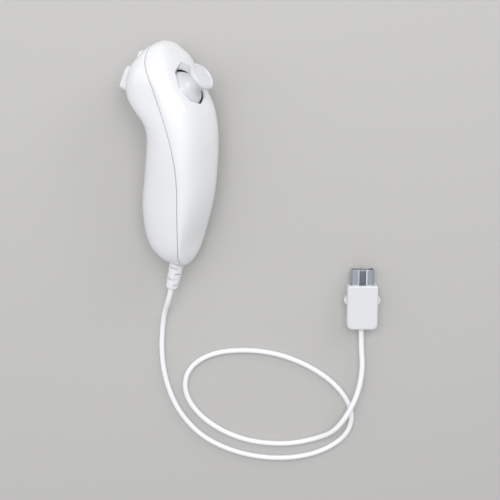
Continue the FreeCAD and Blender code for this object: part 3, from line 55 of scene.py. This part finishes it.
# Cord. A thin round lead with a soft white jacket, drawn over its wires in one length. It leaves the
# ribbed sleeve in the grip's heel, lies in one loop that crosses itself, and ends in the plug.
class Value:
    """A node's output that reads as a number in an expression."""

    def __init__(self, finish, socket):
        self.finish = finish
        self.socket = socket

    def _maths(self, operation, first, second):
        return self.finish.node("ShaderNodeMath", {"operation": operation}, {0: first, 1: second})

    def __add__(self, other):
        return self._maths("ADD", self, other)

    def __radd__(self, other):
        return self._maths("ADD", other, self)

    def __sub__(self, other):
        return self._maths("SUBTRACT", self, other)

    def __rsub__(self, other):
        return self._maths("SUBTRACT", other, self)

    def __mul__(self, other):
        return self._maths("MULTIPLY", self, other)

    def __rmul__(self, other):
        return self._maths("MULTIPLY", other, self)


class Finish:
    """A material under construction: its nodes, and the shader they feed."""

    def __init__(self, name, colour, roughness, metallic=0.0, coat=0.0):
        self.material = bpy.data.materials.new(name)
        self.material.use_nodes = True
        self.tree = self.material.node_tree
        self.shader = self.tree.nodes["Principled BSDF"]
        self.set("Base Color", (*colour, 1.0))
        self.set("Roughness", roughness)
        self.set("Metallic", metallic)
        self.set("Coat Weight", coat)
        self.set("Coat Roughness", 0.08)

    def put(self, socket, value):
        if isinstance(value, Value):
            self.tree.links.new(value.socket, socket)
        else:
            socket.default_value = value

    def set(self, name, value):
        self.put(self.shader.inputs[name], value)

    def node(self, kind, settings, sockets, output=0):
        made = self.tree.nodes.new(kind)
        for name, value in settings.items():
            setattr(made, name, value)
        for name, value in sockets.items():
            self.put(made.inputs[name], value)
        return Value(self, made.outputs[output])

    def point(self):
        """The point on the piece, in metres."""
        return self.node("ShaderNodeTexCoord", {}, {}, "Object")

    def place(self, scale=(1.0, 1.0, 1.0), rotation=(0.0, 0.0, 0.0)):
        """The point on the piece, turned and stretched for a pattern."""
        return self.node("ShaderNodeMapping", {"vector_type": "TEXTURE"},
                         {"Vector": self.point(), "Rotation": rotation,
                          "Scale": tuple(1.0 / s for s in scale)})

    def noise(self, scale, detail=2.0, roughness=0.5, where=None):
        where = where or self.place()
        return self.node("ShaderNodeTexNoise", {},
                         {"Vector": where, "Scale": scale, "Detail": detail, "Roughness": roughness}, "Fac")

    def between(self, factor, low, high):
        """A colour that moves from one to the other with the factor."""
        made = self.tree.nodes.new("ShaderNodeMix")
        made.data_type = "RGBA"
        self.put(made.inputs[0], factor)
        self.put(made.inputs[6], (*low, 1.0))
        self.put(made.inputs[7], (*high, 1.0))
        return Value(self, made.outputs[2])

    def relief(self, height, depth, edge=0.0002):
        """Bumps of a real depth in metres, over edges that are softened by a small radius."""
        softened = self.node("ShaderNodeBevel", {"samples": 6}, {"Radius": edge})
        self.set("Normal", self.node("ShaderNodeBump", {}, {"Height": height, "Distance": depth,
                                                            "Strength": 1.0, "Normal": softened}))

    def band(self, value, low, high):
        """How far a value has risen between two limits, from 0 to 1."""
        return self.node("ShaderNodeMapRange", {"interpolation_type": "SMOOTHSTEP"},
                         {"Value": value, "From Min": low, "From Max": high})


CORD_DIAMETER = 0.0027
CORD_ROUTE = [(-0.00041, -0.06238, 0.01116), (-0.00196, -0.06906, 0.00975), (-0.0057, -0.0800, 0.0015),
              (-0.0071, -0.1006, 0.0014), (-0.0043, -0.1180, 0.0014), (0.0024, -0.1336, 0.0014),
              (0.0144, -0.1470, 0.0014), (0.0312, -0.1553, 0.0014), (0.0495, -0.1591, 0.0014),
              (0.0682, -0.1583, 0.0014), (0.0838, -0.1527, 0.0014), (0.0939, -0.1432, 0.0014),
              (0.0946, -0.1301, 0.0014), (0.0854, -0.1170, 0.0014), (0.0706, -0.1067, 0.0014),
              (0.0532, -0.1000, 0.0014), (0.0345, -0.0982, 0.0014), (0.0181, -0.1007, 0.0014),
              (0.0069, -0.1088, 0.0014), (0.0046, -0.1211, 0.0014), (0.0117, -0.1338, 0.0014),
              (0.0256, -0.1442, 0.0014), (0.0426, -0.1501, 0.0014), (0.0613, -0.1510, 0.0014),
              (0.0760, -0.1478, 0.0014), (0.0864, -0.1410, 0.0074), (0.0963, -0.1240, 0.0074),
              (0.0995, -0.1080, 0.0059), (0.0984, -0.0950, 0.0048), (0.0984, -0.0855, 0.0048)]

cord_curve = bpy.data.curves.new("cord_jacket", "CURVE")
cord_curve.dimensions = "3D"
cord_spline = cord_curve.splines.new("NURBS")
cord_spline.points.add(len(CORD_ROUTE) - 1)
for point, place in zip(cord_spline.points, CORD_ROUTE):
    point.co = (*place, 1.0)
cord_spline.order_u = 3
cord_spline.use_endpoint_u = True
cord_spline.resolution_u = 8
cord_curve.bevel_depth = CORD_DIAMETER / 2
cord_curve.bevel_resolution = 6
cord_curve.use_fill_caps = True
cord = bpy.data.objects.new("cord_jacket", cord_curve)
bpy.context.scene.collection.objects.link(cord)

soft_jacket = Finish("soft white jacket", (0.88, 0.885, 0.89), 0.42)
jacket_mottle = soft_jacket.noise(90.0, 3.0)
soft_jacket.set("Base Color", soft_jacket.between(jacket_mottle, (0.87, 0.875, 0.88), (0.9, 0.905, 0.91)))
soft_jacket.set("Roughness", 0.36 + 0.14 * jacket_mottle)
soft_jacket.relief(soft_jacket.noise(1500.0, 2.0), 0.00002)
cord_curve.materials.append(soft_jacket.material)

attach(cord, "handset")
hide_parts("cord")


# Grip shells. Two glossy white mouldings, one under the thumb and one in the palm, that meet at a
# fine dark seam and are screwed together from the back.
MESH_WELD = 0.000002


def dress(name, finish, sharp=35.0):
    """Gives a node its finish, and smooth shading up to its sharp edges."""
    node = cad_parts[name]
    node.data.materials.clear()
    node.data.materials.append(finish.material)
    for face in node.data.polygons:
        face.use_smooth = True
    weld = node.modifiers.new("joined points", "WELD")
    weld.merge_threshold = MESH_WELD
    split = node.modifiers.new("sharp edges", "EDGE_SPLIT")
    split.split_angle = math.radians(sharp)


def handled_gloss(name, low, high, roughness, coat):
    """Polished white plastic: a faint drift of colour, handling haze, hairline scratches and the
    shallow ripple that a mould leaves."""
    finish = Finish(name, high, roughness, coat=coat)
    finish.set("Base Color", finish.between(finish.noise(22.0, 3.0), low, high))
    haze = finish.band(finish.noise(95.0, 4.0, 0.6), 0.42, 0.68)
    along = finish.noise(1.0, 3.0, 0.7, finish.place((5200.0, 260.0, 900.0), (0.0, 0.0, 0.5)))
    across = finish.noise(1.0, 3.0, 0.7, finish.place((300.0, 4800.0, 800.0), (0.3, 0.0, 0.2)))
    scratches = finish.band(along, 0.66, 0.74) + finish.band(across, 0.67, 0.75)
    finish.set("Roughness", roughness + 0.07 * haze + 0.09 * scratches)
    ripple = finish.noise(170.0, 2.0) + 0.1 * finish.noise(1500.0, 2.0)
    finish.relief(ripple - 0.06 * scratches, 0.000012, 0.00035)
    return finish


SHELL_DULL, SHELL_CLEAN = (0.80, 0.805, 0.82), (0.83, 0.835, 0.845)
SHELL_ROUGHNESS, SHELL_COAT, SHELL_SHARP = 0.16, 0.35, 40.0
gloss_white = handled_gloss("gloss white moulding", SHELL_DULL, SHELL_CLEAN, SHELL_ROUGHNESS, SHELL_COAT)
dress("rear_shell", gloss_white, SHELL_SHARP)

# The round edge of the stick opening, which faces the dome across a narrow gap, is painted near black as
# painted shade: the shadow down in the gap, on an edge that is white plastic.
STICK_PIVOT, GAP_RADIUS, GAP_FADE = (0.005464, 0.037190, 0.023107), 0.011713, 0.00004
# Painted shade: the near-black colour of the shadow in the gap.
GAP_PAINTED_SHADE = (0.02, 0.02, 0.025)
white_with_painted_gap_shade = handled_gloss("gloss white with painted gap shade", SHELL_DULL, SHELL_CLEAN, SHELL_ROUGHNESS,
                            SHELL_COAT)
reach = white_with_painted_gap_shade.node("ShaderNodeVectorMath", {"operation": "DISTANCE"},
                         {0: white_with_painted_gap_shade.point(), 1: STICK_PIVOT}, 1)
# Painted shade mask: only the round face inside the gap, around the dome, takes the dark colour.
painted_gap_shade = 1.0 - white_with_painted_gap_shade.band(reach, GAP_RADIUS, GAP_RADIUS + GAP_FADE)
white_with_painted_gap_shade.set("Base Color", white_with_painted_gap_shade.between(painted_gap_shade, SHELL_CLEAN, GAP_PAINTED_SHADE))
dress("front_shell", white_with_painted_gap_shade, SHELL_SHARP)


# Shell screws. Two plated steel screws with six-sided sockets, deep in the back of the grip.
plated_steel = Finish("plated steel", (0.55, 0.56, 0.58), 0.3, metallic=1.0)
plating = plated_steel.noise(700.0, 3.0)
plated_steel.set("Roughness", 0.22 + 0.2 * plating)
plated_steel.relief(plating, 0.00002)
for name in ("shell_screws", "stick_board_screws", "button_board_screws", "main_board_screws",
             "z_button_hinge_pin", "stick_shaft"):
    dress(name, plated_steel, 30.0)


# Thumb stick. The dome, neck and dished cap are one moulding of a fine-grained pale grey plastic
# that is pressed onto the steel lever.
stick_grain = Finish("fine-grained stick plastic", (0.71, 0.72, 0.745), 0.32, coat=0.35)
grain = stick_grain.noise(2200.0, 3.0, 0.6)
rubbed = stick_grain.band(stick_grain.noise(160.0, 3.0), 0.4, 0.7)
stick_grain.set("Base Color", stick_grain.between(rubbed, (0.7, 0.71, 0.74), (0.73, 0.74, 0.76)))
stick_grain.set("Roughness", 0.28 + 0.12 * grain - 0.08 * rubbed)
stick_grain.relief(grain, 0.00002, 0.0002)
dress("thumb_cap", stick_grain, 32.0)


# Stick module. A black box with a tinned frame holds two crossed rockers over a spring plate and a
# return spring; a green sensor on each of two sides reads how far its rocker turns.
black_moulding = Finish("black moulding", (0.03, 0.03, 0.032), 0.45)
black_moulding.set("Roughness", 0.38 + 0.2 * black_moulding.noise(500.0, 3.0))
black_moulding.relief(black_moulding.noise(1200.0), 0.00002)
tinned = Finish("tinned sheet", (0.62, 0.63, 0.63), 0.28, metallic=1.0)
tinned.set("Roughness", 0.2 + 0.25 * tinned.noise(240.0, 4.0))
sensor_green = Finish("sensor housing", (0.07, 0.26, 0.2), 0.5)
sensor_green.set("Roughness", 0.4 + 0.2 * sensor_green.noise(800.0, 2.0))
ivory_nylon = Finish("ivory nylon", (0.7, 0.69, 0.62), 0.4)
ivory_nylon.set("Roughness", 0.34 + 0.16 * ivory_nylon.noise(500.0, 2.0))
ivory_nylon.relief(ivory_nylon.noise(1400.0), 0.00001)
spring_steel = Finish("spring steel", (0.42, 0.43, 0.45), 0.25, metallic=1.0)
spring_steel.set("Roughness", 0.18 + 0.2 * spring_steel.noise(1800.0, 2.0))
dress("stick_module_base", black_moulding)
dress("stick_module_cover", tinned)
dress("stick_position_sensors", sensor_green)
for name in ("lower_rocker", "upper_rocker", "stick_spring_plate"):
    dress(name, ivory_nylon)
for name in ("stick_return_spring", "latch_spring_left", "latch_spring_right"):
    dress(name, spring_steel, 60.0)


# Back buttons. The large one is a hollow trigger on a pin, the small one slides straight in; both
# are satin white mouldings that press a rubber dome on the board behind them.
satin_white = handled_gloss("satin white moulding", (0.77, 0.775, 0.79), (0.80, 0.805, 0.815), 0.24, 0.15)
grey_rubber = Finish("grey rubber", (0.17, 0.18, 0.19), 0.7)
grey_rubber.set("Roughness", 0.6 + 0.25 * grey_rubber.noise(400.0, 3.0))
grey_rubber.relief(grey_rubber.noise(1000.0), 0.00003)
dress("z_button", satin_white)
dress("c_button", satin_white)
dress("button_dome_pad", grey_rubber)


# Boards. Green laminate with a solder mask over copper; the main board carries the controller chip,
# the motion sensor, small components and three ivory wire connectors.
solder_mask = Finish("green solder mask", (0.02, 0.14, 0.06), 0.35, coat=0.3)
weave = solder_mask.noise(260.0, 2.0)
solder_mask.set("Base Color", solder_mask.between(weave, (0.015, 0.11, 0.045), (0.03, 0.18, 0.08)))
solder_mask.relief(weave, 0.00002)
chip_black = Finish("chip resin", (0.02, 0.02, 0.022), 0.5)
chip_black.set("Roughness", 0.45 + 0.2 * chip_black.noise(900.0, 3.0))
ceramic = Finish("component ceramic", (0.36, 0.24, 0.15), 0.5)
ceramic.set("Base Color", ceramic.between(ceramic.noise(400.0, 1.0), (0.3, 0.2, 0.12), (0.45, 0.36, 0.26)))
for name in ("stick_board", "button_board", "main_board"):
    dress(name, solder_mask)
for name in ("motion_sensor_chip", "control_chip"):
    dress(name, chip_black)
dress("board_components", ceramic)
dress("wire_headers", ivory_nylon)


# Wires. Thin stranded wires in red insulation, from the boards to the main board and in the plug.
wire_red = Finish("red wire insulation", (0.4, 0.03, 0.03), 0.4)
wire_red.set("Roughness", 0.34 + 0.14 * wire_red.noise(900.0, 2.0))
for name in ("cord_wires", "stick_wires", "button_wires", "plug_wires"):
    dress(name, wire_red, 60.0)


# Strain relief. A soft white sleeve in the heel, tapered and slotted in pairs, each pair a quarter turn
# on from the last, so that it bends with the cord, which runs on through it into the grip.
sleeve_white = Finish("soft white sleeve", (0.8, 0.805, 0.82), 0.45)
sleeve_white.set("Roughness", 0.4 + 0.14 * sleeve_white.noise(300.0, 3.0))
sleeve_white.relief(sleeve_white.noise(1200.0), 0.00002)
dress("strain_relief", sleeve_white, 40.0)
for name in ("cord_tail", "plug_cord_end"):
    dress(name, soft_jacket, 50.0)


# Plug. Two satin white covers closed over a steel shell with a channel pressed along it, a white
# tongue with gold contacts, and a spring latch in each side.
plug_white = handled_gloss("plug moulding", (0.69, 0.695, 0.71), (0.72, 0.725, 0.735), 0.28, 0.1)
brushed = Finish("brushed plug steel", (0.5, 0.53, 0.58), 0.3, metallic=1.0)
lines = brushed.noise(1.0, 2.0, where=brushed.place((3500.0, 120.0, 3500.0)))
brushed.set("Roughness", 0.2 + 0.22 * lines)
brushed.relief(lines, 0.000008)
gold = Finish("gold plating", (0.75, 0.52, 0.2), 0.22, metallic=1.0)
gold.set("Roughness", 0.16 + 0.16 * gold.noise(900.0, 3.0))
brass = Finish("crimped brass", (0.55, 0.42, 0.2), 0.35, metallic=1.0)
brass.set("Roughness", 0.28 + 0.2 * brass.noise(600.0, 3.0))
for name in ("plug_lower_cover", "plug_upper_cover", "plug_latch_left", "plug_latch_right"):
    dress(name, plug_white)
dress("plug_metal_shell", brushed)
dress("plug_tongue", ivory_nylon)
dress("plug_contacts", gold)
dress("plug_crimp_collar", brass)


# Channel shade strip. A dark strip with two rows of small studs lies in the channel of the metal shell as
# painted shade: its dark colour stands in for the shade down in the pressed channel. It lies between the
# rolled edges that the pressing leaves along both sides of the channel.
CHANNEL_X, CHANNEL_FLOOR, SHELL_TOP = 0.0984, 0.0072, 0.0077
CHANNEL_HALF, SHELL_FROM, SHELL_TO = 0.00185, -0.06205, -0.05412
STRIP_GAP, STRIP_BURIED, STRIP_RISE, STRIP_SHORT = 0.0001, 0.00003, 0.00012, 0.0004
STUD_ROWS, STUD_PITCH, STUD_FIRST, STUD_ASIDE = 5, 0.0014, 0.0012, 0.00085
STUD_HALF_WIDTH, STUD_HALF_LENGTH, STUD_FOOT, STUD_TOP = 0.0004, 0.0003, 0.00005, 0.00026
ROLL_RADIUS, ROLL_DIFFERENCE, ROLL_FLAT, ROLL_ASIDE = 0.00036, 0.00008, 0.6, 0.00022
ROLL_SHORT, ROLL_SUNK = 0.0002, 0.00002


def bar(form, low, high, edge):
    """A straight bar between two corners, with its edges rounded."""
    low, high = Vector(low), Vector(high)
    made = bmesh.ops.create_cube(form, size=1.0)["verts"]
    bmesh.ops.scale(form, vec=high - low, verts=made)
    bmesh.ops.translate(form, vec=(high + low) / 2, verts=made)
    edges = list({e for v in made for e in v.link_edges})
    bmesh.ops.bevel(form, geom=edges, offset=edge, affect="EDGES", segments=3, profile=0.5, material=-1)


def piece(name, form, finish, body):
    """A finished piece that rides a body, with smooth shading."""
    mesh = bpy.data.meshes.new(name)
    bmesh.ops.recalc_face_normals(form, faces=form.faces)
    for face in form.faces:
        face.smooth = True
    form.to_mesh(mesh)
    form.free()
    mesh.materials.append(finish.material)
    made = bpy.data.objects.new(name, mesh)
    bpy.context.scene.collection.objects.link(made)
    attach(made, body)
    return made


shade_strip_form = bmesh.new()
strip_half = CHANNEL_HALF - STRIP_GAP
bar(shade_strip_form, (CHANNEL_X - strip_half, SHELL_FROM, CHANNEL_FLOOR - STRIP_BURIED),
    (CHANNEL_X + strip_half, SHELL_TO - STRIP_SHORT, CHANNEL_FLOOR + STRIP_RISE), 0.00004)
for row in range(STUD_ROWS):
    for side in (-1, 1):
        stud_x, stud_y = CHANNEL_X + side * STUD_ASIDE, SHELL_FROM + STUD_FIRST + row * STUD_PITCH
        bar(shade_strip_form, (stud_x - STUD_HALF_WIDTH, stud_y - STUD_HALF_LENGTH, CHANNEL_FLOOR + STUD_FOOT),
            (stud_x + STUD_HALF_WIDTH, stud_y + STUD_HALF_LENGTH, CHANNEL_FLOOR + STUD_TOP), 0.00006)
# Painted shade: the strip's dark colour stands in for the shade in the channel.
channel_shade_dark = Finish("painted channel shade", (0.13, 0.14, 0.17), 0.35)
channel_shade_dark.set("Roughness", 0.28 + 0.2 * channel_shade_dark.noise(900.0, 3.0))
channel_shade_dark.relief(channel_shade_dark.noise(2400.0), 0.00001, 0.0001)
piece("channel_shade_strip", shade_strip_form, channel_shade_dark, "handset")

rolled_edges = bmesh.new()
for side in (-1, 1):
    radius = ROLL_RADIUS + side * ROLL_DIFFERENCE
    bead = bmesh.ops.create_cone(rolled_edges, cap_ends=True, segments=20, radius1=radius, radius2=radius,
                                 depth=SHELL_TO - SHELL_FROM - ROLL_SHORT)["verts"]
    bmesh.ops.rotate(rolled_edges, cent=(0, 0, 0), matrix=Matrix.Rotation(math.pi / 2, 3, "X"), verts=bead)
    bmesh.ops.scale(rolled_edges, vec=(1.0, 1.0, ROLL_FLAT), verts=bead)
    bmesh.ops.translate(rolled_edges, verts=bead, vec=(
        CHANNEL_X + side * (CHANNEL_HALF + ROLL_ASIDE), (SHELL_FROM + SHELL_TO) / 2, SHELL_TOP - ROLL_SUNK))
# Painted highlight: the rolled edges are the shell's own steel, coloured far brighter than the rest of it
# to stand in for the highlight along the bends.
edge_painted_highlight = Finish("rolled edge with painted highlight", (0.93, 0.94, 0.95), 0.36, metallic=1.0)
edge_painted_highlight.set("Roughness", 0.32 + 0.12 * edge_painted_highlight.noise(1500.0, 2.0))
edges_piece = piece("channel_edges", rolled_edges, edge_painted_highlight, "handset")
roll_split = edges_piece.modifiers.new("sharp edges", "EDGE_SPLIT")
roll_split.split_angle = math.radians(40.0)


# Table and light. A plain pale table top, a wide soft lamp overhead and a smaller one at each side.
TABLE_HALF, SKY_COLOUR, SKY_STRENGTH = 2.0, (0.94, 0.96, 1.0, 1.0), 0.52
table_mesh = bpy.data.meshes.new("table_top")
table_form = bmesh.new()
bmesh.ops.create_grid(table_form, x_segments=1, y_segments=1, size=TABLE_HALF)
table_form.to_mesh(table_mesh)
table_form.free()
table = bpy.data.objects.new("table_top", table_mesh)
bpy.context.scene.collection.objects.link(table)
table_matt = Finish("pale table", (0.5, 0.49, 0.475), 0.7)
table_mesh.materials.append(table_matt.material)


def lamp(name, place, target, size, power):
    data = bpy.data.lights.new(name, "AREA")
    data.shape = "RECTANGLE"
    data.size, data.size_y = size
    data.energy = power
    made = bpy.data.objects.new(name, data)
    made.location = place
    made.rotation_euler = (Vector(target) - Vector(place)).to_track_quat("-Z", "Y").to_euler()
    bpy.context.scene.collection.objects.link(made)


lamp("soft lamp", (0.0, 0.34, 1.0), (0.0, -0.02, 0.0), (0.9, 0.7), 6.7)
lamp("right lamp", (0.65, 0.6, 0.4), (0.0, 0.0, 0.0), (0.5, 0.5), 2.1)
lamp("left lamp", (-0.65, 0.1, 0.45), (0.0, 0.0, 0.0), (0.4, 0.9), 1.2)
world = bpy.data.worlds.new("studio")
bpy.context.scene.world = world
world.use_nodes = True
sky = world.node_tree.nodes["Background"]
sky.inputs["Color"].default_value = SKY_COLOUR
sky.inputs["Strength"].default_value = SKY_STRENGTH
bpy.context.scene.view_settings.view_transform = "Standard"
